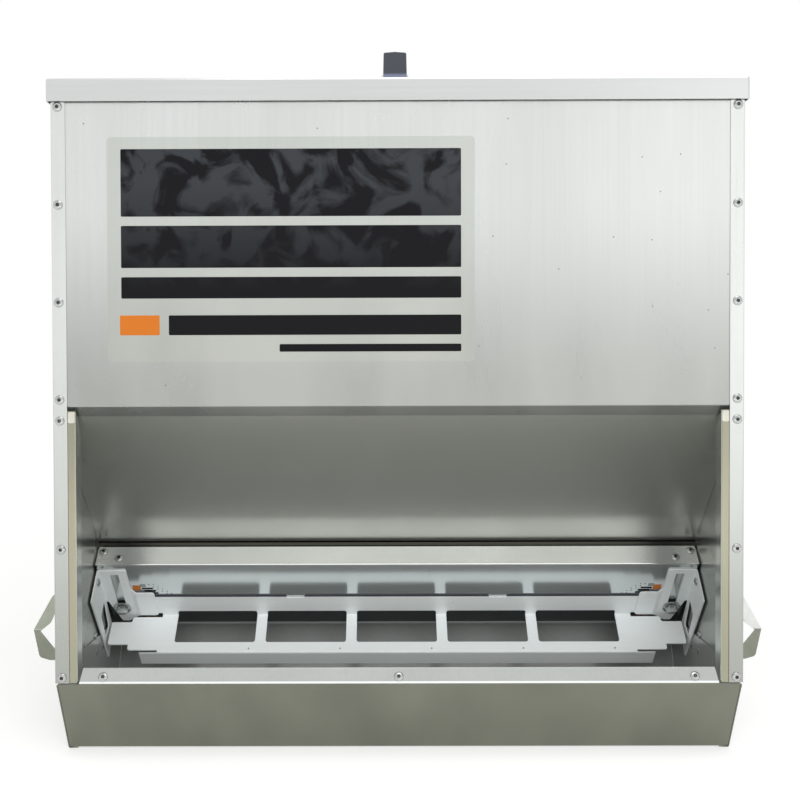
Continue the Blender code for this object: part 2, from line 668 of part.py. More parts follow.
# Slotted brackets: slot plate on the chute, a joggled tab over the flange, a side wing with a hand hole
slide_out = Vector((0, -ROOT_HALF, -ROOT_HALF))
lap_lift = SLIDE_SHEET + FIT
slot_reach = BOLT_RADIUS + SLOT_PLAY
for word, hand in SIDES:
    wing_face = HALF_BODY - WING_IN
    inner = HALF_BODY - BRACKET_IN
    path = [(wing_face, WING_WIDTH), (wing_face, 0), (inner, 0), (inner - JOGGLE, lap_lift),
            (HALF_BODY - LAP_IN, lap_lift)]
    stations, (edge, joggle, rise, tip) = bend_line(path, SLIDE_SHEET, -1)
    slot_middle = edge + wing_face - BOLT_X
    end_near = slot_middle - BRACKET_END_WIDTH / 2
    end_far = slot_middle + BRACKET_END_WIDTH / 2
    outline = rounded([
        (0, BRACKET_TOP, CORNER_SMALL), (edge, BRACKET_TOP), (joggle, BRACKET_TOP, CORNER),
        (joggle, CREASE_RUN - LAP_RUN - JOGGLE_DROP),
        (rise, CREASE_RUN - LAP_RUN), (tip, CREASE_RUN - LAP_RUN, CORNER), (tip, CREASE_RUN, CORNER_WIDE),
        (rise, CREASE_RUN), (end_far, BRACKET_RUN, CORNER_WIDE), (end_near, BRACKET_RUN, CORNER),
        (edge + WING_NOTCH, WING_FOLD_RUN + WING_NOTCH), (edge - WING_NOTCH, WING_FOLD_RUN + WING_NOTCH / 2),
        (edge - HAND_HOLE_INSET, WING_RUN - WING_END_SLANT, CORNER_SMALL), (0, WING_RUN, CORNER_SMALL)])
    slot = rounded([(slot_middle - SLOT_WIDTH / 2, BOLT_RUN - TRAVEL_DOWN - slot_reach, CORNER_TIGHT),
                    (slot_middle + SLOT_WIDTH / 2, BOLT_RUN - TRAVEL_DOWN - slot_reach, CORNER_TIGHT),
                    (slot_middle + SLOT_WIDTH / 2, BOLT_RUN + TRAVEL_UP + slot_reach, CORNER_SLOT),
                    (slot_middle - SLOT_WIDTH / 2, BOLT_RUN + TRAVEL_UP + slot_reach, CORNER_SLOT)])
    near = edge - HAND_HOLE_INSET
    far = near - HAND_HOLE_WIDTH
    hand_hole = rounded([(near, HAND_HOLE_TOP, CORNER),
                         (near - HAND_HOLE_NEAR_SLANT, HAND_HOLE_BOTTOM, CORNER),
                         (far - HAND_HOLE_FAR_SLANT, HAND_HOLE_BOTTOM - HAND_HOLE_STEP, CORNER),
                         (far, HAND_HOLE_TOP, CORNER)])
    bracket = fold(flat_blank(outline, [slot, hand_hole], SLIDE_SHEET), stations, on_side(slide_view, hand))
    name = f"restrictor_bracket_{word}"
    restrictor.append(add_piece(name, bracket, sheet_steel(name)))
    spot = on_side(slide_view, hand)(wing_face - SLIDE_SHEET, WING_RIVET_STAND, WING_RIVET_RUN)
    restrictor.append(add_rivet(f"bracket_rivet_{word}", spot, (-hand, 0, 0)))

# Clamp bolts: hex bolt, washer on the slot plate, nut behind the chute panel
washer_low = SLIDE_SHEET + FIT
head_low = washer_low + WASHER_THICK + FIT
nut_high = -(FIT + SECOND_FACE)
for word, hand in SIDES:
    spot = slide_view(hand * BOLT_X, 0, BOLT_RUN)
    name = f"clamp_washer_{word}"
    turned_piece(name, ring_profile(BOLT_HOLE, WASHER_RADIUS, washer_low, washer_low + WASHER_THICK),
                 ROUND_SIDES + 4, spot, slide_out, bright_steel(name), closed=True)
    name = f"clamp_bolt_{word}"
    shank = rod_profile(BOLT_RADIUS, nut_high - NUT_HEIGHT - BOLT_TAIL, head_low + HEAD_HEIGHT / 2)
    bolt = turned_piece(name, shank, ROUND_SIDES, spot, slide_out, bright_steel(name))
    head = turned_piece(f"bolt_head_{word}", rod_profile(HEX_RADIUS, head_low, head_low + HEAD_HEIGHT),
                        HEX_SIDES, spot, slide_out, bright_steel(f"bolt_head_{word}"))
    combine(bolt, head, "UNION")
    name = f"clamp_nut_{word}"
    nut = turned_piece(name, rod_profile(HEX_RADIUS, nut_high - NUT_HEIGHT, nut_high), HEX_SIDES, spot,
                       slide_out, bright_steel(name))
    through = rod_profile(BOLT_HOLE, nut_high - 2 * NUT_HEIGHT, nut_high + NUT_HEIGHT)
    bore = turned_piece(f"nut_bore_{word}", through, ROUND_SIDES, spot, slide_out,
                        bright_steel(f"nut_bore_{word}"))
    combine(nut, bore, "DIFFERENCE")

# Carry handles: a creased plate ear with a hand hole, welded to a base that is riveted to the side panel
for word, hand in SIDES:
    out = HANDLE_REACH
    root = HANDLE_PLATE / 2
    outline = rounded([(root, HANDLE_BOTTOM), (out - HANDLE_FOOT_IN, HANDLE_BOTTOM, CORNER),
                       (out - HANDLE_HEEL_IN, HANDLE_BOTTOM + HANDLE_HEEL_RISE, CORNER_WIDE),
                       (out, HANDLE_CREASE, CORNER_SMALL),
                       (out - HANDLE_SHOULDER_IN, HANDLE_CREASE + HANDLE_SHOULDER_RISE, CORNER_BROAD),
                       (root, HANDLE_TOP)])
    hole = rounded([(GRASP_ROOT, HANDLE_BOTTOM + GRASP_FLOOR_RISE, CORNER_WIDE),
                    (out - GRASP_FOOT_IN, HANDLE_BOTTOM + GRASP_FOOT_RISE, CORNER_WIDE),
                    (out - GRASP_NOSE_IN, HANDLE_CREASE - GRASP_NOSE_DROP, CORNER_SMALL),
                    (out - HANDLE_SHOULDER_IN, HANDLE_CREASE + GRASP_CHEEK_RISE, CORNER_SLOT),
                    (out - GRASP_NECK_IN, HANDLE_CREASE + GRASP_NECK_RISE, CORNER_BROAD),
                    (GRASP_ROOT, HANDLE_CREASE + GRASP_ROOT_RISE, CORNER_BROAD)])
    bm = flat_blank(outline, [hole], HANDLE_PLATE)
    bmesh.ops.bisect_plane(bm, geom=bm.verts[:] + bm.edges[:] + bm.faces[:], dist=1e-7,
                           plane_co=(0, HANDLE_CREASE, 0), plane_no=(0, 1, 0))
    view = on_side(front_view, hand)
    for vert in bm.verts:
        reach, height, through = vert.co
        depth = HANDLE_DEPTH + through + abs(height - HANDLE_CREASE) * HANDLE_LEAN
        vert.co = view(HALF_BODY + FIT + reach, height, depth)
    ear = add_piece(f"carry_handle_{word}", bm, sheet_steel(f"carry_handle_{word}"))
    edge_depth = HANDLE_DEPTH + HANDLE_PLATE / 2
    outline = [(edge_depth, HANDLE_CREASE),
               (edge_depth + (HANDLE_TOP - HANDLE_CREASE) * HANDLE_LEAN, HANDLE_TOP),
               (HANDLE_DEPTH + HANDLE_BASE, HANDLE_TOP, CORNER_BROAD),
               (HANDLE_DEPTH + HANDLE_BASE, HANDLE_BOTTOM, CORNER_BROAD),
               (edge_depth + (HANDLE_CREASE - HANDLE_BOTTOM) * HANDLE_LEAN, HANDLE_BOTTOM)]
    bm = flat_blank(rounded(outline), [], HANDLE_PLATE)
    for vert in bm.verts:
        depth, height, through = vert.co
        vert.co = view(HALF_BODY + FIT + through, height, depth)
    base = add_piece(f"handle_base_{word}", bm, sheet_steel(f"handle_base_{word}"))
    combine(ear, base, "UNION")

# Lid: a shallow box, open below, that stands off the body all round
bm = bmesh.new()
bmesh.ops.create_cube(bm, size=1)
lid_size = (BODY_WIDTH + 2 * LID_REACH, BODY_DEPTH + 2 * LID_REACH, LID_SKIRT)
bmesh.ops.scale(bm, verts=bm.verts[:], vec=lid_size)
bmesh.ops.translate(bm, verts=bm.verts[:], vec=front_view(0, LID_TOP - LID_SKIRT / 2, BODY_DEPTH / 2))
bmesh.ops.delete(bm, geom=[face for face in bm.faces if face.normal.z < -0.5], context="FACES_ONLY")
bmesh.ops.bevel(bm, geom=[edge for edge in bm.edges if len(edge.link_faces) == 2], offset=LID_ROUND,
                offset_type="OFFSET", segments=2, profile=0.5, affect="EDGES")
lid_mesh = bpy.data.meshes.new("lid_shell")
bm.to_mesh(lid_mesh)
bm.free()
lid_mesh.materials.append(sheet_steel("lid_shell"))
lid_shell = bpy.data.objects.new("lid_shell", lid_mesh)
parts.objects.link(lid_shell)
wall = lid_shell.modifiers.new("wall", "SOLIDIFY")
wall.thickness = SHEET
wall.offset = -1
wall.use_even_offset = True
lid = [lid_shell]

# Lid grip: a moulded rubber block in a steel saddle
saddle_half = GRIP_WIDTH / 2 + FIT + SHEET
saddle_foot = LID_TOP + FIT


def grip_view(across, height, back):
    return front_view(GRIP_X + across, saddle_foot + height, GRIP_DEPTH + back)


path = [(-saddle_half, SADDLE_CHEEK), (-saddle_half, 0), (saddle_half, 0), (saddle_half, SADDLE_CHEEK)]
saddle = strip(path, 1, SADDLE_INSET, GRIP_LENGTH - SADDLE_INSET, grip_view)
lid.append(add_piece("lid_grip_saddle", saddle, sheet_steel("lid_grip_saddle")))
half = GRIP_WIDTH / 2
outline = rounded([(-half, 0, CORNER_FINE), (half, 0, CORNER_FINE),
                   (half - GRIP_TAPER, GRIP_HEIGHT - GRIP_CROWN, CORNER_TIGHT),
                   (0, GRIP_HEIGHT), (-half + GRIP_TAPER, GRIP_HEIGHT - GRIP_CROWN, CORNER_TIGHT)])
grip = flat_blank(outline, [], GRIP_LENGTH)
for vert in grip.verts:
    across, height, back = vert.co
    vert.co = grip_view(across, SECOND_FACE + height, back)
lid.append(add_piece("lid_grip", grip, black_rubber("lid_grip")))


# Lid hinges: two butt hinges between the rear panel and the lid's rear skirt
def hinge_leaf(name, centre, taken, path, side):
    """Leaf joined to its knuckles; taken says which knuckles are this leaf's."""
    stations, creases = bend_line(path, LEAF_THICK, side)
    low = centre - HINGE_WIDTH / 2
    high = centre + HINGE_WIDTH / 2
    root = creases[-1] - KNUCKLE_RADIUS - 2 * FIT + LEAF_START
    span = HINGE_WIDTH / KNUCKLES
    fingers = [(low + span * i + KNUCKLE_GAP / 2, low + span * (i + 1) - KNUCKLE_GAP / 2) for i in taken]
    outline = [(0, high), (0, low), (root, low)]
    for start, end in fingers:
        outline += [(root, start), (creases[-1], start), (creases[-1], end), (root, end)]
    outline.append((root, high))
    leaf = fold(flat_blank(outline, [], LEAF_THICK), stations, side_view)
    obj = add_piece(name, leaf, bright_steel(name))
    for number, (start, end) in enumerate(fingers, 1):
        barrel_name = f"{name}_knuckle_{number}"
        profile = ring_profile(KNUCKLE_BORE, KNUCKLE_RADIUS, 0, end - start)
        barrel = turned_piece(barrel_name, profile, ROUND_SIDES, side_view(PIN_DEPTH, PIN_HEIGHT, start),
                              (1, 0, 0), bright_steel(barrel_name), closed=True)
        combine(obj, barrel, "UNION")
    return obj


leaf_face = REAR_FACE + FIT
crank_top = PIN_HEIGHT - KNUCKLE_RADIUS - 2 * FIT - LEAF_THICK
for word, hand in SIDES:
    centre = hand * (HALF_BODY - HINGE_IN)
    path = [(HINGE_FACE, PIN_HEIGHT + KNUCKLE_RADIUS + LEAF_HEIGHT), (HINGE_FACE, PIN_HEIGHT + LEAF_START)]
    lid.append(hinge_leaf(f"hinge_lid_leaf_{word}", centre, (1, 3), path, 1))
    path = [(leaf_face, crank_top - LEAF_CRANK - LEAF_HEIGHT), (leaf_face, crank_top - LEAF_CRANK),
            (HINGE_FACE, crank_top), (HINGE_FACE, PIN_HEIGHT - LEAF_START)]
    hinge_leaf(f"hinge_fixed_leaf_{word}", centre, (0, 2, 4), path, -1)
    half = HINGE_WIDTH / 2 + FIT
    name = f"hinge_pin_{word}"
    profile = [(0, half + PIN_HEAD), (PIN_HEAD_RADIUS, half + PIN_HEAD), (PIN_HEAD_RADIUS, half),
               (PIN_RADIUS, half), (PIN_RADIUS, -half), (PIN_HEAD_RADIUS, -half),
               (PIN_HEAD_RADIUS, -half - PIN_HEAD),
               (0, -half - PIN_HEAD)]
    turned_piece(name, profile, ROUND_SIDES, side_view(PIN_DEPTH, PIN_HEIGHT, centre), (1, 0, 0),
                 bright_steel(name))


# Moving pieces hang on an empty on their joint's axis
def carry(name, spot, pieces):
    empty = bpy.data.objects.new(name, None)
    empty.location = spot
    parts.objects.link(empty)
    for piece in pieces:
        piece.parent = empty
        piece.matrix_parent_inverse = Matrix.Translation(-spot)


carry("lid_axis", side_view(PIN_DEPTH, PIN_HEIGHT, 0), lid)
carry("slide_axis", side_view(*crease, 0), restrictor)
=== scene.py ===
"""Looks of the stainless-steel hopper feeder: finishes, fasteners, film and studio.

Metres, +Z up, the open front faces -Y. The folded sheets, handles, hinges, bolts and lid
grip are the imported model's own nodes; rivets, washers, films and scales are modelled here.
"""
import math

import bmesh
import bpy
from mathutils import Matrix, Vector


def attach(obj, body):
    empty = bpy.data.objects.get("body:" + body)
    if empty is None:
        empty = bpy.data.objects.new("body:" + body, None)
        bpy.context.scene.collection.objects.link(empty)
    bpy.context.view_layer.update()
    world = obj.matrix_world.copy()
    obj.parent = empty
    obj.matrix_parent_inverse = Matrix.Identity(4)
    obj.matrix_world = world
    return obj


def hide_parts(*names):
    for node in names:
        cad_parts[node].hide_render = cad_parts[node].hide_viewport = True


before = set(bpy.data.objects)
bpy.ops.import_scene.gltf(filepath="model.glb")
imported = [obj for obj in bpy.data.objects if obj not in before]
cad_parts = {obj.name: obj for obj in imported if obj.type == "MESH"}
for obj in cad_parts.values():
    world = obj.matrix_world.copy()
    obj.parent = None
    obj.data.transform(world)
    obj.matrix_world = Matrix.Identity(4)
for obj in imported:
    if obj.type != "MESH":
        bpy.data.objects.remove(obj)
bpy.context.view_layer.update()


# Side panels. One sheet of 1.5 mm stainless steel a side, cold rolled, pickled and skin
# passed, with its front and rear edges folded in; the rest of the body is riveted to them.
STREAKS = 250.0                 # per metre across the rolled direction
STREAK_STRETCH = 60             # times as long as wide
CLOUDS_ACROSS = 9.0             # per metre
CLOUDS_ALONG = 2.5              # per metre
SPECK_CELLS = 20.0              # per metre
SPECK_OUTER = 0.022             # radius, as a share of a cell
SPECK_INNER = 0.012
ROLLED_RELIEF = 0.0002
DOWN = (0, 0, -1)


def linear(code):
    """Linear colour of an sRGB hex code."""
    shares = [int(code[at:at + 2], 16) / 255 for at in (0, 2, 4)]
    return tuple(c / 12.92 if c <= 0.04045 else ((c + 0.055) / 1.055) ** 2.4 for c in shares) + (1.0,)


def add_node(tree, kind, settings, links):
    """Adds a node: settings and links go by the name or number of an input, or a property's name."""
    node = tree.nodes.new(kind)
    for key, value in settings.items():
        if isinstance(key, int) or key in node.inputs:
            node.inputs[key].default_value = value
        else:
            setattr(node, key, value)
    for key, source in links.items():
        tree.links.new(source, node.inputs[key])
    return node


def start_finish(name, metallic):
    """New material: its node tree, shader and the piece's own coordinates."""
    material = bpy.data.materials.new(name)
    material.use_nodes = True
    tree = material.node_tree
    shader = tree.nodes["Principled BSDF"]
    shader.inputs["Metallic"].default_value = metallic
    place = add_node(tree, "ShaderNodeTexCoord", {}, {}).outputs["Object"]
    return material, tree, shader, place


def rolled_steel(name, colour, shade, roughness, rolled, stain=None, stain_axis=DOWN, stain_span=None,
                 bare=1.0, stain_bare=None, band=None, specks=0.0, patches=0.07):
    """Cold-rolled stainless sheet: the mill's fine streaks along the rolled direction and
    soft clouds from the skin pass, which dull it in patches. Real streaks are under 1 mm
    apart; they are drawn 4 mm wide so that they show. bare is the share of bare metal, and
    dust or pickling haze scatters the rest. stain is painted shade: a darker tone that comes
    in over a span of an axis, with its own share of bare metal. A band is a strip of it painted
    as a highlight or as deeper shade: its colour, where it comes in and where it goes out.
    specks is the share of 50 mm cells with a 1.5 mm spot of dirt."""
    material, tree, shader, place = start_finish(name, bare)
    streak_scale = {"X": (STREAKS / STREAK_STRETCH, STREAKS, STREAKS),
                    "Z": (STREAKS, STREAKS, STREAKS / STREAK_STRETCH)}[rolled]
    cloud_scale = {"X": (CLOUDS_ALONG, CLOUDS_ACROSS, CLOUDS_ACROSS),
                   "Z": (CLOUDS_ACROSS, CLOUDS_ACROSS, CLOUDS_ALONG)}[rolled]
    streak_place = add_node(tree, "ShaderNodeMapping", {"Scale": streak_scale}, {"Vector": place})
    streaks = add_node(tree, "ShaderNodeTexNoise", {"Scale": 1.0, "Detail": 3.0},
                       {"Vector": streak_place.outputs[0]})
    cloud_place = add_node(tree, "ShaderNodeMapping", {"Scale": cloud_scale}, {"Vector": place})
    clouds = add_node(tree, "ShaderNodeTexNoise", {"Scale": 1.0, "Detail": 4.0},
                      {"Vector": cloud_place.outputs[0]})
    streak_share = add_node(tree, "ShaderNodeMapRange", {"From Min": 0.35, "From Max": 0.68, "To Max": 0.30},
                            {"Value": streaks.outputs[0]})
    cloud_share = add_node(tree, "ShaderNodeMapRange", {"From Min": 0.38, "From Max": 0.66, "To Max": 0.55},
                           {"Value": clouds.outputs[0]})
    both = add_node(tree, "ShaderNodeMath", {"operation": "ADD", "use_clamp": True},
                    {0: streak_share.outputs[0], 1: cloud_share.outputs[0]})
    tone = add_node(tree, "ShaderNodeMix", {"data_type": "RGBA", 6: linear(colour), 7: linear(shade)},
                    {0: both.outputs[0]}).outputs[2]
    # Painted shade: a darker tone over a span of an axis.
    if stain:
        axes = add_node(tree, "ShaderNodeVectorMath", {"operation": "DOT_PRODUCT", 1: stain_axis}, {0: place})
        share = add_node(tree, "ShaderNodeMapRange",
                         {"From Min": stain_span[0], "From Max": stain_span[1],
                          "interpolation_type": "SMOOTHSTEP"},
                         {"Value": axes.outputs["Value"]})
        swing = add_node(tree, "ShaderNodeMapRange",
                         {"From Min": 0.35, "From Max": 0.65, "To Min": 1 - patches, "To Max": 1 + patches},
                         {"Value": clouds.outputs[0]})
        patchy = add_node(tree, "ShaderNodeHueSaturation", {"Color": linear(stain)},
                          {"Value": swing.outputs[0]})
        tone = add_node(tree, "ShaderNodeMix", {"data_type": "RGBA"},
                        {0: share.outputs[0], 6: tone, 7: patchy.outputs[0]}).outputs[2]
        # Band: a strip painted as a highlight or as deeper shade.
        if band:
            band_colour, outer_start, inner_start, inner_end, outer_end = band
            begun = add_node(tree, "ShaderNodeMapRange", {"From Min": outer_start, "From Max": inner_start},
                             {"Value": axes.outputs["Value"]})
            ended = add_node(tree, "ShaderNodeMapRange", {"From Min": outer_end, "From Max": inner_end},
                             {"Value": axes.outputs["Value"]})
            inside = add_node(tree, "ShaderNodeMath", {"operation": "MINIMUM"},
                              {0: begun.outputs[0], 1: ended.outputs[0]})
            tone = add_node(tree, "ShaderNodeMix", {"data_type": "RGBA", 7: linear(band_colour)},
                            {0: inside.outputs[0], 6: tone}).outputs[2]
        if stain_bare is not None:
            metal = add_node(tree, "ShaderNodeMapRange", {"To Min": bare, "To Max": stain_bare},
                             {"Value": share.outputs[0]})
            tree.links.new(metal.outputs[0], shader.inputs["Metallic"])
    if specks:
        parts = add_node(tree, "ShaderNodeSeparateXYZ", {}, {0: place})
        flat = add_node(tree, "ShaderNodeCombineXYZ", {}, {0: parts.outputs["X"], 1: parts.outputs["Z"]})
        cells = add_node(tree, "ShaderNodeTexVoronoi", {"voronoi_dimensions": "2D", "Scale": SPECK_CELLS},
                         {"Vector": flat.outputs[0]})
        near = add_node(tree, "ShaderNodeMapRange", {"From Min": SPECK_OUTER, "From Max": SPECK_INNER},
                        {"Value": cells.outputs["Distance"]})
        picked = add_node(tree, "ShaderNodeMath", {"operation": "GREATER_THAN", 1: 1 - specks},
                          {0: cells.outputs["Color"]})
        speck = add_node(tree, "ShaderNodeMath", {"operation": "MULTIPLY"},
                         {0: near.outputs[0], 1: picked.outputs[0]})
        tone = add_node(tree, "ShaderNodeMix", {"data_type": "RGBA", 7: linear("6E6A60")},
                        {0: speck.outputs[0], 6: tone}).outputs[2]
    tree.links.new(tone, shader.inputs["Base Color"])
    haze = add_node(tree, "ShaderNodeMapRange", {"To Min": roughness - 0.04, "To Max": roughness + 0.06},
                    {"Value": clouds.outputs[0]})
    tree.links.new(haze.outputs[0], shader.inputs["Roughness"])
    relief = add_node(tree, "ShaderNodeBump", {"Strength": 0.06, "Distance": ROLLED_RELIEF},
                      {"Height": streaks.outputs[0]})
    tree.links.new(relief.outputs[0], shader.inputs["Normal"])
    return material


def dress(material, *nodes):
    """Gives CAD nodes their finish."""
    for node in nodes:
        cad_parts[node].data.materials.clear()
        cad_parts[node].data.materials.append(material)


# Painted shade: the sides are drawn darker from 0.62 m down to 0.10 m, as less light reaches them lower down;
# the specks are dirt.
side_steel = rolled_steel("cold_rolled_stainless_sides", "DEE1DF", "D1D4D1", 0.26, "Z",
                          stain="A4A6A1", stain_span=(-0.62, -0.10), bare=0.92, specks=0.12)
dress(side_steel, "side_panel_left", "side_panel_right")


# Front panel. 1.5 mm stainless sheet, rolled direction upright, hemmed at the rim and
# riveted to the side flanges; painted shade darkens it towards its lower edge, and it is specked with dirt.
panel_steel = rolled_steel("cold_rolled_stainless_front", "DADDDB", "D0D3D0", 0.27, "Z",
                           stain="A9ABA7", stain_span=(-0.76, -0.46), bare=0.95, specks=0.35)
dress(panel_steel, "front_panel")


# Printed film on the front panel. Clear vinyl, 0.13 mm thick, that darkens the steel a
# little, with printed charcoal and orange bars. Corners are given as (x, z).
PANEL_FACE = -0.20255
FILM_BOX = ((-0.380, 0.527), (0.101, 0.8206))
FILM_ROUND = 0.006
FILM_GAP = 0.00002
FILM_THICK = 0.00013
PRINT_ROUND = 0.0015
PRINT_GAP = 0.00017
PRINT_THICK = 0.00008
CHARCOAL_BARS = (((-0.362, 0.717), (0.083, 0.805)), ((-0.362, 0.650), (0.083, 0.705)),
                 ((-0.362, 0.610), (0.083, 0.638)), ((-0.300, 0.562), (0.083, 0.588)),
                 ((-0.155, 0.540), (0.083, 0.550)))
ORANGE_BAR = ((-0.364, 0.562), (-0.312, 0.588))
MOTTLE_LOW = 0.62
MOTTLE_HIGH = 0.76


def deselect_all():
    """Leaves nothing selected, so that an operator acts on the new piece alone."""
    for obj in bpy.context.selected_objects:
        obj.select_set(False)


def set_piece(piece, name, body, material, slot, *nodes):
    """Finishes a piece: name, finish, the body it rides on and the nodes it stands for; slot is not used."""
    piece.name = name
    piece.data.name = name
    piece.data.materials.clear()
    piece.data.materials.append(material)
    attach(piece, body)
    if nodes:
        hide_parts(*nodes)


def thin_block(low, high, corner, thin):
    """Thin block between two corners of its box; the edges along its thin axis are rounded."""
    deselect_all()
    low = Vector(low)
    high = Vector(high)
    bpy.ops.mesh.primitive_cube_add(size=1, location=(low + high) / 2, scale=high - low)
    bpy.ops.object.transform_apply(location=True, rotation=False, scale=True)
    bpy.ops.object.mode_set(mode="EDIT")
    bpy.ops.mesh.select_mode(type="EDGE")
    mesh = bmesh.from_edit_mesh(bpy.context.object.data)
    for edge in mesh.edges:
        along = edge.verts[1].co - edge.verts[0].co
        along[thin] = 0
        edge.select_set(along.length < 1e-7)
    bmesh.update_edit_mesh(bpy.context.object.data)
    bpy.ops.mesh.bevel(offset=corner, segments=5)
    bpy.ops.object.mode_set(mode="OBJECT")
    return bpy.context.object


def printed_vinyl(name, light, dark, mottle):
    """Printed vinyl: even ink under a clear glossy face. On the higher prints the ink is
    painted lighter in patches, a painted reflection of what their shallow waves mirror."""
    material, tree, shader, place = start_finish(name, 0.0)
    patches = add_node(tree, "ShaderNodeTexNoise", {"Scale": 16.0, "Detail": 5.0, "Distortion": 1.2},
                       {"Vector": place})
    share = add_node(tree, "ShaderNodeMapRange", {"From Min": 0.46, "From Max": 0.56, "To Max": mottle},
                     {"Value": patches.outputs[0]})
    height = add_node(tree, "ShaderNodeSeparateXYZ", {}, {0: place})
    high = add_node(tree, "ShaderNodeMapRange", {"From Min": MOTTLE_LOW, "From Max": MOTTLE_HIGH},
                    {"Value": height.outputs["Z"]})
    share = add_node(tree, "ShaderNodeMath", {"operation": "MULTIPLY"},
                     {0: share.outputs[0], 1: high.outputs[0]})
    tone = add_node(tree, "ShaderNodeMix", {"data_type": "RGBA", 6: linear(dark), 7: linear(light)},
                    {0: share.outputs[0]})
    tree.links.new(tone.outputs[2], shader.inputs["Base Color"])
    shader.inputs["Roughness"].default_value = 0.30
    shader.inputs["Specular IOR Level"].default_value = 0.18
    return material


def on_panel(low, high, back, thick, corner):
    """Film on the front panel between two (x, z) corners; back is its gap to the panel."""
    near = (low[0], PANEL_FACE - back - thick, low[1])
    far = (high[0], PANEL_FACE - back, high[1])
    return thin_block(near, far, corner, 1)


# The clear film carries the panel's painted shade too: it is drawn darker from 0.76 m down to 0.50 m.
film_vinyl = rolled_steel("clear_vinyl_over_steel", "CBCFCA", "C3C7C2", 0.30, "Z",
                          stain="B4B6B0", stain_span=(-0.76, -0.50), bare=0.97)
# Each print's first tone is painted reflection, mixed in patches above 0.62 m; the second is the ink.
charcoal_vinyl = printed_vinyl("charcoal_printed_vinyl", "33363A", "06060A", 0.9)
orange_vinyl = printed_vinyl("orange_printed_vinyl", "D27C30", "C46E22", 0.9)
film = on_panel(*FILM_BOX, FILM_GAP, FILM_THICK, FILM_ROUND)
set_piece(film, "panel_film", "body", film_vinyl, None)
for number, (low, high) in enumerate(CHARCOAL_BARS, 1):
    bar = on_panel(low, high, PRINT_GAP, PRINT_THICK, PRINT_ROUND)
    set_piece(bar, f"panel_bar_{number}", "body", charcoal_vinyl, None)
bar = on_panel(*ORANGE_BAR, PRINT_GAP, PRINT_THICK, PRINT_ROUND)
set_piece(bar, "panel_bar_orange", "body", orange_vinyl, None)


# Sloping hopper sheet and rear panel. The same sheet, inside and behind, folded and riveted;
# feed polishes the slope, and its foot behind the ledge is painted dark as shade.
slope_steel = rolled_steel("feed_worn_stainless_slope", "CFD0C9", "C4C5BE", 0.24, "Z",
                           stain="3A3A35", stain_span=(-0.2600, -0.2580), bare=0.88)
dress(slope_steel, "hopper_slope")
dress(side_steel, "rear_panel")


# Chute panel, ledge and ledge brackets. Bright sheet folded into a ledge and a steep slide,
# tied to the sides by two angles. Below the ledge it is drawn more mirror-like, and a band of
# painted shade darkens it behind the restrictor's windows, ending sharply above its lower edge.
chute_steel = rolled_steel("bright_rolled_stainless_chute", "DBDEDD", "D1D5D3", 0.12, "X",
                           stain="D6DBDB", stain_span=(-0.2245, -0.2235), bare=0.75, stain_bare=0.84,
                           band=("5E6363", -0.172, -0.160, -0.1200, -0.1196))
dress(chute_steel, "chute_panel", "ledge_bracket_left", "ledge_bracket_right")


# Trough shell, ends and lip stiffener. Rear wall, floor, front wall and lip are one folded
# sheet with an end plate at each side; the front wall is painted dark as shade, standing for
# the dark floor it mirrors, up to a painted highlight along the lip's nose.
TROUGH_AXIS = (0, -0.866, -0.5)         # forward and down, square to the front wall
trough_steel = rolled_steel("stainless_trough_painted_shade_and_highlight", "AFB2B0", "A4A7A4", 0.18, "Z",
                            stain="7B7D72", stain_axis=TROUGH_AXIS, stain_span=(0.1246, 0.1254),
                            bare=0.15, stain_bare=0.95, patches=0.09,
                            band=("E6E8E7", 0.1224, 0.1225, 0.1247, 0.1248))
dress(trough_steel, "trough_shell", "lip_stiffener", "trough_end_left", "trough_end_right")


# Edge channels. Folded angles behind the front flanges that stiffen the bay's edges; their
# front faces are painted a darker warm tone, a painted reflection of warm surroundings.
channel_steel = rolled_steel("stainless_channels_painted_warm_shade", "CFD2CE", "C4C7C3", 0.20, "Z",
                             stain="9F9D8A", stain_axis=(0, -1, 0), stain_span=(0.2016, 0.2022))
dress(channel_steel, "edge_channel_left", "edge_channel_right")


# Painted highlight at the channels' upper ends: two thin pale pieces on the front panel's
# face that stand for the glint on each channel's end.
REMNANT_NEAR = 0.4246
REMNANT_FAR = 0.4334
REMNANT_BOTTOM = 0.4470
REMNANT_TOP = 0.4615
REMNANT_ROUND = 0.002
polythene, tree, shader, place = start_finish("pale_painted_glint", 0.0)
# Painted highlight: a pale mottled tone, with no lamp behind it.
dust = add_node(tree, "ShaderNodeTexNoise", {"Scale": 90.0, "Detail": 4.0}, {"Vector": place})
tone = add_node(tree, "ShaderNodeMix", {"data_type": "RGBA", 6: linear("D6D4CA"), 7: linear("B9B6A8")},
                {0: dust.outputs[0]})
tree.links.new(tone.outputs[2], shader.inputs["Base Color"])
shader.inputs["Roughness"].default_value = 0.35
for word, left, right in (("left", -REMNANT_FAR, -REMNANT_NEAR), ("right", REMNANT_NEAR, REMNANT_FAR)):
    remnant = on_panel((left, REMNANT_BOTTOM), (right, REMNANT_TOP), FILM_GAP, FILM_THICK, REMNANT_ROUND)
    set_piece(remnant, f"painted_highlight_glint_{word}", "body", polythene, None)


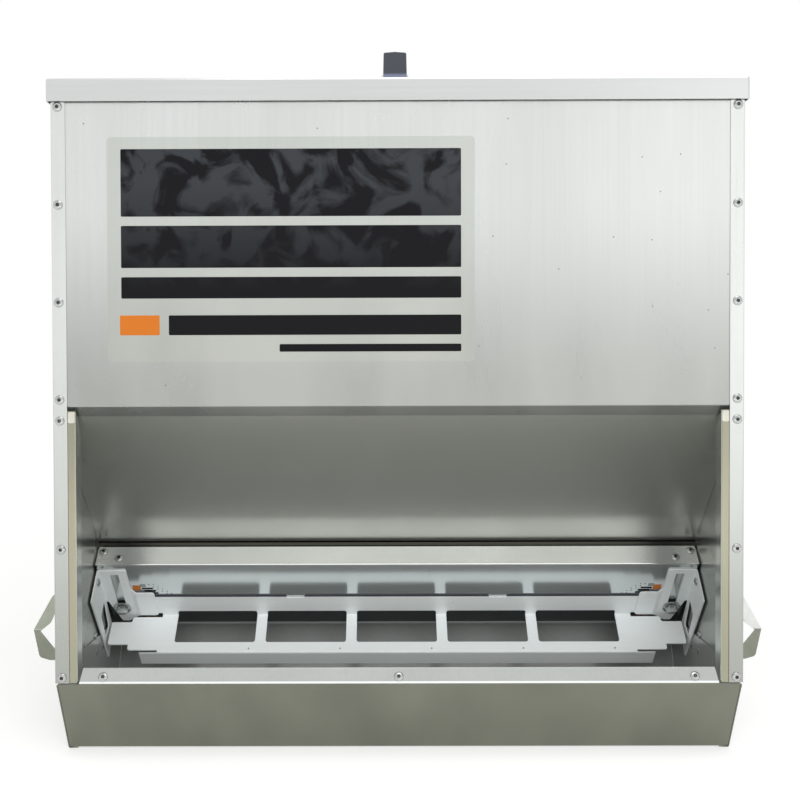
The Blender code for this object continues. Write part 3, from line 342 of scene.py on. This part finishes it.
# Restrictor and its brackets. 2 mm laser-cut sheet, folded and pickled after cutting, which
# leaves it paler and more matt than the body; a thin band of painted shade along the plate's
# top edge stands for the shadowed gap to the chute.
RESTRICTOR_TONES = ("F3F7F7", "EBF0F0", 0.42, "X")
bracket_steel = rolled_steel("pickled_stainless_restrictor", *RESTRICTOR_TONES, bare=0.12)
dress(bracket_steel, "restrictor_bracket_left", "restrictor_bracket_right")
plate_steel = rolled_steel("pickled_stainless_plate", *RESTRICTOR_TONES, bare=0.12,
                           stain="34343F", stain_axis=(0, 0, 1), stain_span=(0.1690, 0.1694))
dress(plate_steel, "restrictor_plate")


# Blind rivets. Stainless domes 12.4 mm across with the snapped mandrel left in the middle;
# one row holds each flange, others hold the ledge, the lip stiffener and the bracket wings.
RIVET_RADIUS = 0.0062
RIVET_SIDES = 24
MANDREL_EDGE = 0.0023
RIVET_RINGS = ((0.0062, 0.0005), (0.0057, 0.0013), (0.0046, 0.0020), (0.0031, 0.0024), (0.0024, 0.0024),
               (0.0021, 0.0012), (0.0014, 0.0012), (0.0012, 0.0017))
SMOOTH_BELOW = math.radians(40)
LIP_TILT = math.radians(60)
LEDGE_TILT = math.radians(40)


def raise_rings(radius, rings, sides):
    """Round piece at the origin: a disc drawn up ring by ring, each (radius, height)."""
    deselect_all()
    bpy.ops.mesh.primitive_circle_add(vertices=sides, radius=radius, fill_type="NGON")
    bpy.ops.object.mode_set(mode="EDIT")
    bpy.ops.mesh.select_all(action="SELECT")
    height = 0
    for next_radius, next_height in rings:
        bpy.ops.mesh.extrude_region_move(TRANSFORM_OT_translate={"value": (0, 0, next_height - height)})
        share = next_radius / radius
        bpy.ops.transform.resize(value=(share, share, 1), center_override=(0, 0, 0))
        radius = next_radius
        height = next_height
    bpy.ops.mesh.select_all(action="SELECT")
    bpy.ops.mesh.normals_make_consistent(inside=False)
    bpy.ops.object.mode_set(mode="OBJECT")
    bpy.ops.object.shade_smooth_by_angle(angle=SMOOTH_BELOW)
    return bpy.context.object


def turned_steel(name, colour, roughness):
    """Bright stainless of turned and pressed fasteners: fine grain of the tool, worn smooth."""
    material, tree, shader, place = start_finish(name, 1.0)
    grain = add_node(tree, "ShaderNodeTexNoise", {"Scale": 420.0, "Detail": 3.0}, {"Vector": place})
    dull = add_node(tree, "ShaderNodeMapRange", {"From Min": 0.5, "From Max": 0.8},
                    {"Value": grain.outputs[0]})
    tone = add_node(tree, "ShaderNodeMix", {"data_type": "RGBA", 6: linear(colour), 7: linear("8E908F")},
                    {0: dull.outputs[0]})
    tree.links.new(tone.outputs[2], shader.inputs["Base Color"])
    worn = add_node(tree, "ShaderNodeMapRange", {"To Min": roughness - 0.05, "To Max": roughness + 0.10},
                    {"Value": grain.outputs[0]})
    tree.links.new(worn.outputs[0], shader.inputs["Roughness"])
    relief = add_node(tree, "ShaderNodeBump", {"Strength": 0.15, "Distance": 0.0001},
                      {"Height": grain.outputs[0]})
    tree.links.new(relief.outputs[0], shader.inputs["Normal"])
    return material


def copy_to(pattern, name, spot, axis):
    """Copy of a piece made at the origin, moved to its spot and turned from +Z to its axis."""
    copy = bpy.data.objects.new(name, pattern.data.copy())
    bpy.context.scene.collection.objects.link(copy)
    turn = Vector(axis).to_track_quat("Z", "Y").to_matrix().to_4x4()
    copy.data.transform(Matrix.Translation(spot) @ turn)
    return copy


def seat_of(node, axis):
    """Middle of the face that a CAD fastener stands on."""
    axis = Vector(axis)
    spots = {tuple(round(c, 6) for c in vert.co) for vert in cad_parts[node].data.vertices}
    low = min(Vector(spot).dot(axis) for spot in spots)
    ring = [Vector(spot) for spot in spots if Vector(spot).dot(axis) < low + 0.00002]
    return sum(ring, Vector()) / len(ring)


rivet_steel = turned_steel("pressed_stainless_rivets", "BCBEBD", 0.17)
# Dark steel for the mandrel's end and the hole's walls: partly the carbon steel of the mandrel, partly
# painted shade in the hole.
mandrel_steel = turned_steel("mandrel_ends_and_painted_hole_shade", "4A4B49", 0.40)
rivet = raise_rings(RIVET_RADIUS, RIVET_RINGS, RIVET_SIDES)
mandrel_faces = [face.index for face in rivet.data.polygons if face.center.xy.length < MANDREL_EDGE]


def set_rivet(name, body, spot, axis, *nodes):
    """Blind rivet at its spot, its head towards the axis; the mandrel's end and the hole round it get a dark
    steel, partly the mandrel's own and partly painted shade.
    """
    piece = copy_to(rivet, name, spot, axis)
    set_piece(piece, name, body, rivet_steel, "polished_steel", *nodes)
    piece.data.materials.append(mandrel_steel)
    for index in mandrel_faces:
        piece.data.polygons[index].material_index = 1


lip_out = Vector((0, -math.sin(LIP_TILT), math.cos(LIP_TILT)))
ledge_out = Vector((0, -math.sin(LEDGE_TILT), math.cos(LEDGE_TILT)))
for word, hand in (("left", -1), ("right", 1)):
    rows = [(f"front_rivet_{word}_{number}", (0, -1, 0), "body") for number in range(1, 8)]
    rows += [(f"ledge_rivet_{word}_{number}", ledge_out, "body") for number in (1, 2)]
    rows += [(f"lip_rivet_{word}", lip_out, "body"), (f"bracket_rivet_{word}", (-hand, 0, 0), "restrictor")]
    if hand > 0:
        rows.append(("lip_rivet_middle", lip_out, "body"))
    for node, axis, body in rows:
        set_rivet(f"{node}_dome", body, seat_of(node, axis), axis, node)


# Rivets that hold the rear panel, the handles and the hinges. They are the same domes; the
# handles' come through and show inside the side panels, and each hinge has two in the body
# and two in the lid.
REAR_FLANGE_ASIDE = 0.4437
REAR_FLANGE_DEPTH = 0.19565
REAR_ROW = (0.800, 0.665, 0.530, 0.395, 0.260, 0.125)
HANDLE_FACE = 0.4583
WALL_FACE = 0.4515
HANDLE_RIVETS = ((0.006, 0.1195), (0.006, 0.0945), (0.044, 0.1195), (0.044, 0.0945))
FIXED_LEAF_FACE = 0.19565
LID_LEAF_FACE = 0.20225
LEAF_MIDDLE = 0.300
LEAF_RIVETS = ((-0.028, 0.8400, "body", FIXED_LEAF_FACE), (0.028, 0.8400, "body", FIXED_LEAF_FACE),
               (-0.028, 0.8770, "lid", LID_LEAF_FACE), (0.028, 0.8770, "lid", LID_LEAF_FACE))
for word, hand in (("left", -1), ("right", 1)):
    for number, (depth, height) in enumerate(HANDLE_RIVETS, 1):
        spot = (hand * HANDLE_FACE, depth, height)
        set_rivet(f"handle_rivet_{word}_{number}", "body", spot, (hand, 0, 0))
        spot = (hand * WALL_FACE, depth, height)
        set_rivet(f"handle_rivet_end_{word}_{number}", "body", spot, (-hand, 0, 0))
    for number, (aside, height, body, face) in enumerate(LEAF_RIVETS, 1):
        spot = (hand * LEAF_MIDDLE + aside, face, height)
        set_rivet(f"hinge_rivet_{word}_{number}", body, spot, (0, 1, 0))
    for number, height in enumerate(REAR_ROW, 1):
        spot = (hand * REAR_FLANGE_ASIDE, REAR_FLANGE_DEPTH, height)
        set_rivet(f"rear_rivet_{word}_{number}", "body", spot, (0, 1, 0))
bpy.data.objects.remove(rivet)


# Clamp bolts. M10 stainless hexagon bolts with plain washers; they clamp the slotted
# brackets to the chute panel, with a nut behind it.
SLIDE_OUT = Vector((0, -math.sqrt(0.5), -math.sqrt(0.5)))
WASHER_RADIUS = 0.0133
WASHER_SIDES = 32
WASHER_RINGS = ((0.0135, 0.0016), (0.0131, 0.0020), (0.0060, 0.0020), (0.0057, 0.0016), (0.0057, 0.0002))
BOLT_NODES = ("clamp_bolt_left", "clamp_bolt_right", "clamp_nut_left", "clamp_nut_right")
WELD_REACH = 0.00002
FLAT_BELOW = math.radians(2)
SHARP_ABOVE = math.radians(25)


def round_edges(width, segments, *nodes):
    """Rounds a CAD node's sharp edges with modifiers: its triangles are joined into whole
    faces first, and its own mesh stays as it is."""
    for name in nodes:
        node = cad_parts[name]
        weld = node.modifiers.new("weld", "WELD")
        weld.merge_threshold = WELD_REACH
        faces = node.modifiers.new("faces", "DECIMATE")
        faces.decimate_type = "DISSOLVE"
        faces.angle_limit = FLAT_BELOW
        bevel = node.modifiers.new("bevel", "BEVEL")
        bevel.width = width
        bevel.segments = segments
        bevel.limit_method = "ANGLE"
        bevel.angle_limit = SHARP_ABOVE
        bevel.use_clamp_overlap = True


bolt_steel = turned_steel("turned_stainless_bolts", "C4C8C7", 0.22)
washer = raise_rings(WASHER_RADIUS, WASHER_RINGS, WASHER_SIDES)
for word in ("left", "right"):
    spot = seat_of(f"clamp_washer_{word}", SLIDE_OUT)
    set_piece(copy_to(washer, "washer", spot, SLIDE_OUT), f"clamp_washer_{word}_plain", "body", bolt_steel,
              "polished_steel", f"clamp_washer_{word}")
bpy.data.objects.remove(washer)
dress(bolt_steel, *BOLT_NODES)
round_edges(0.0008, 2, *BOLT_NODES)


# Position scale on the chute panel. Printed vinyl beside each bracket that shows how far
# the restrictor is open: an orange pointer, dark ticks, bars and dots, and orange ticks.
# Each mark is (aside from the middle, run down the slide, width, length).
SLIDE_ORIGIN = (0, 0.00285, 0.223876)
SCALE_STAND = (-0.00028, -0.00018)
SCALE_ROUND = 0.0004
POINTER = ((0.3965, 0.0540, 0.012, 0.012),)
DARK_TICKS = tuple((0.3865, 0.0460 + 0.0026 * step, 0.009, 0.0011) for step in range(3))
DARK_BARS = ((0.3805, 0.0560, 0.017, 0.0040), (0.3770, 0.0620, 0.018, 0.0040),
             (0.3725, 0.0680, 0.015, 0.0040))
DARK_DOTS = tuple((start - 0.0062 * step, 0.0457 + 0.0059 * step, 0.0016, 0.0016)
                  for start in (0.3770, 0.3700) for step in range(6))
ORANGE_TICKS = tuple((0.3900 - 0.0110 * (step % 3), 0.1340 + 0.0040 * (step // 3), 0.0085, 0.0018)
                     for step in range(18))
slide_frame = Matrix(((1, 0, 0, SLIDE_ORIGIN[0]),
                      (0, -math.sqrt(0.5), -math.sqrt(0.5), SLIDE_ORIGIN[1]),
                      (0, math.sqrt(0.5), -math.sqrt(0.5), SLIDE_ORIGIN[2]),
                      (0, 0, 0, 1)))


def printed_marks(marks, hand):
    """Thin marks on the chute panel as one piece."""
    made = []
    for aside, run, width, length in marks:
        low = (hand * aside - width / 2, -run - length / 2, SCALE_STAND[0])
        high = (hand * aside + width / 2, -run + length / 2, SCALE_STAND[1])
        made.append(thin_block(low, high, SCALE_ROUND, 2))
    deselect_all()
    for mark in made:
        mark.select_set(True)
    bpy.context.view_layer.objects.active = made[0]
    if len(made) > 1:
        bpy.ops.object.join()
    made[0].data.transform(slide_frame)
    return made[0]


for word, hand in (("left", -1), ("right", 1)):
    set_piece(printed_marks(POINTER, hand), f"scale_pointer_{word}", "body", orange_vinyl, None)
    dark_marks = printed_marks(DARK_TICKS + DARK_BARS + DARK_DOTS, hand)
    set_piece(dark_marks, f"scale_marks_{word}", "body", charcoal_vinyl, None)
    set_piece(printed_marks(ORANGE_TICKS, hand), f"scale_ticks_{word}", "body", orange_vinyl, None)


# Carry handles. 5 mm stainless plate, creased and welded to a base that is riveted to the
# side panel; its edges are tumbled round for the hand and carry a painted highlight.
HANDLE_CREASE = 0.133
CREASE_SOFT = 0.001


def tumbled_steel(name, upper, lower):
    """Tumbled stainless plate: even satin, with painted shade below the crease."""
    material, tree, shader, place = start_finish(name, 1.0)
    grain = add_node(tree, "ShaderNodeTexNoise", {"Scale": 60.0, "Detail": 5.0}, {"Vector": place})
    height = add_node(tree, "ShaderNodeSeparateXYZ", {}, {0: place})
    below = add_node(tree, "ShaderNodeMapRange",
                     {"From Min": HANDLE_CREASE + CREASE_SOFT, "From Max": HANDLE_CREASE - CREASE_SOFT},
                     {"Value": height.outputs["Z"]})
    tone = add_node(tree, "ShaderNodeMix", {"data_type": "RGBA", 6: linear(upper), 7: linear(lower)},
                    {0: below.outputs[0]})
    swing = add_node(tree, "ShaderNodeMapRange", {"To Min": 0.85, "To Max": 1.15},
                     {"Value": grain.outputs[0]})
    cloudy = add_node(tree, "ShaderNodeHueSaturation", {},
                      {"Color": tone.outputs[2], "Value": swing.outputs[0]})
    tree.links.new(cloudy.outputs[0], shader.inputs["Base Color"])
    shader.inputs["Roughness"].default_value = 0.34
    return material


edge_steel = turned_steel("handle_edges_painted_highlight", "F0F1EF", 0.22)
# Painted light: the left handle is drawn darker above the crease than the right, as it is less lit, and both
# are drawn darker below the crease as shade.
for word, upper in (("left", "A6AA9D"), ("right", "DDDFDC")):
    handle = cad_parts[f"carry_handle_{word}"]
    dress(tumbled_steel(f"tumbled_stainless_handle_{word}", upper, "8C8F83"), f"carry_handle_{word}")
    handle.data.materials.append(edge_steel)
    round_edges(0.0016, 3, f"carry_handle_{word}")
    handle.modifiers["bevel"].material = 1


# Lid. A shallow box folded from the same 1.5 mm sheet, open below, that overhangs the body
# all round; its rolled direction runs across the feeder.
lid_steel = rolled_steel("cold_rolled_stainless_lid", "D8DAD9", "CFD2D0", 0.25, "X")
dress(lid_steel, "lid_shell", "lid_grip_saddle")


# Lid grip. A moulded rubber block in a steel saddle at the middle of the lid's front edge,
# to lift the lid by; it is drawn paler and bluer round its foot.
GRIP_FOOT_LOW = 0.9020
GRIP_FOOT_HIGH = 0.9055


def moulded_rubber(name, colour):
    """Moulded EPDM rubber: matt, with the fine grain of its mould, drawn paler and bluer at its foot."""
    material, tree, shader, place = start_finish(name, 0.0)
    grain = add_node(tree, "ShaderNodeTexNoise", {"Scale": 900.0, "Detail": 2.0}, {"Vector": place})
    tone = add_node(tree, "ShaderNodeMix", {"data_type": "RGBA", 6: linear(colour), 7: linear("3A3F48")},
                    {0: grain.outputs[0]})
    height = add_node(tree, "ShaderNodeSeparateXYZ", {}, {0: place})
    foot = add_node(tree, "ShaderNodeMapRange",
                    {"From Min": GRIP_FOOT_HIGH, "From Max": GRIP_FOOT_LOW, "To Max": 0.8},
                    {"Value": height.outputs["Z"]})
    tone = add_node(tree, "ShaderNodeMix", {"data_type": "RGBA", 7: linear("767C94")},
                    {0: foot.outputs[0], 6: tone.outputs[2]})
    tree.links.new(tone.outputs[2], shader.inputs["Base Color"])
    relief = add_node(tree, "ShaderNodeBump", {"Strength": 0.3, "Distance": 0.0002},
                      {"Height": grain.outputs[0]})
    tree.links.new(relief.outputs[0], shader.inputs["Normal"])
    shader.inputs["Roughness"].default_value = 0.55
    return material


grip_rubber = moulded_rubber("moulded_epdm_grip", "2A2D33")
dress(grip_rubber, "lid_grip")
round_edges(0.0025, 4, "lid_grip")


# Lid hinges. Butt hinges of pressed stainless strip, each with a headed pin through its
# curled knuckles; one leaf is riveted to the rear panel and one to the lid's skirt.
hinge_steel = turned_steel("pressed_stainless_hinges", "C6C9C8", 0.26)
for word in ("left", "right"):
    dress(hinge_steel, f"hinge_lid_leaf_{word}", f"hinge_fixed_leaf_{word}", f"hinge_pin_{word}")


# Studio floor and world. A plain pale floor that keeps the feeder's shadow; its own glow and
# the world's full strength show only to the camera and in gloss, and light nothing.
FLOOR_RADIUS = 12.0
GLOW_NEAR = 0.8
GLOW_FAR = 3.5


def seen_rays(tree):
    """1 for rays that the camera sees, straight or by gloss or glass, and 0 for other light."""
    ray = add_node(tree, "ShaderNodeLightPath", {}, {})
    seen = ray.outputs["Is Camera Ray"]
    for kind in ("Is Glossy Ray", "Is Transmission Ray"):
        either = add_node(tree, "ShaderNodeMath", {"operation": "MAXIMUM"}, {0: seen, 1: ray.outputs[kind]})
        seen = either.outputs[0]
    return seen


bpy.ops.mesh.primitive_circle_add(vertices=64, radius=FLOOR_RADIUS, fill_type="NGON")
floor = bpy.context.object
floor.name = "studio_floor"
floor_paint = bpy.data.materials.new("pale_studio_floor")
floor_paint.use_nodes = True
tree = floor_paint.node_tree
tree.nodes.remove(tree.nodes["Principled BSDF"])
matt = add_node(tree, "ShaderNodeBsdfDiffuse", {"Color": linear("E6E6E4")}, {})
place = add_node(tree, "ShaderNodeTexCoord", {}, {}).outputs["Object"]
away = add_node(tree, "ShaderNodeVectorMath", {"operation": "LENGTH"}, {0: place})
need = add_node(tree, "ShaderNodeMapRange",
                {"From Min": GLOW_NEAR, "From Max": GLOW_FAR, "To Min": 0.46, "To Max": 0.64},
                {"Value": away.outputs["Value"]})
lift = add_node(tree, "ShaderNodeMath", {"operation": "MULTIPLY"}, {0: seen_rays(tree), 1: need.outputs[0]})
glow = add_node(tree, "ShaderNodeEmission", {"Color": (1, 1, 1, 1)}, {"Strength": lift.outputs[0]})
total = add_node(tree, "ShaderNodeAddShader", {}, {0: matt.outputs[0], 1: glow.outputs[0]})
tree.links.new(total.outputs[0], tree.nodes["Material Output"].inputs["Surface"])
floor.data.materials.append(floor_paint)

world = bpy.data.worlds.new("studio_white")
bpy.context.scene.world = world
world.use_nodes = True
tree = world.node_tree
level = add_node(tree, "ShaderNodeMapRange", {"To Min": 0.50, "To Max": 1.0}, {"Value": seen_rays(tree)})
tree.links.new(level.outputs[0], tree.nodes["Background"].inputs["Strength"])
tree.nodes["Background"].inputs["Color"].default_value = (1, 1, 1, 1)


# Lamps. Three soft boxes, each (name, spot, aim, size, watts); the front one lights matt
# surfaces and isn't mirrored in the steel.
LAMPS = (("overhead_softbox", (0.3, -1.0, 2.6), (0, 0, 0.3), 1.6, 12),
         ("front_softbox", (0.2, -3.4, 1.1), (0, 0, 0.3), 2.6, 86),
         ("right_softbox", (1.9, -3.2, 1.1), (0.3, 0, 0.6), 2.2, 4))
for name, spot, aim, size, power in LAMPS:
    lamp = bpy.data.lights.new(name, "AREA")
    lamp.size = size
    lamp.energy = power
    holder = bpy.data.objects.new(name, lamp)
    holder.location = spot
    holder.visible_glossy = name != "front_softbox"
    holder.rotation_euler = (Vector(aim) - Vector(spot)).to_track_quat("-Z", "Y").to_euler()
    bpy.context.scene.collection.objects.link(holder)


# Camera. It stands 1.53 m in front of the feeder and half a metre up, and looks a little
# down; its angles are in radians.
CAMERA_SPOT = (-0.01774, -1.73591, 0.50765)
PITCH = 0.0204
YAW = -0.0042
ROLL = -0.0029
forward = Vector((math.sin(YAW) * math.cos(PITCH), math.cos(YAW) * math.cos(PITCH), -math.sin(PITCH)))
right = Vector((math.cos(YAW), -math.sin(YAW), 0))
upward = right.cross(forward)
tilted_right = right * math.cos(ROLL) + upward * math.sin(ROLL)
tilted_up = upward * math.cos(ROLL) - right * math.sin(ROLL)
lens = bpy.data.cameras.new("front_camera")
lens.lens = 52.65
lens.sensor_width = 36
lens.shift_x = 0.0255
camera = bpy.data.objects.new("front_camera", lens)
turned = Matrix((tilted_right, tilted_up, -forward)).transposed().to_4x4()
camera.matrix_world = Matrix.Translation(CAMERA_SPOT) @ turned
bpy.context.scene.collection.objects.link(camera)
bpy.context.scene.camera = camera
bpy.context.scene.view_settings.view_transform = "Standard"
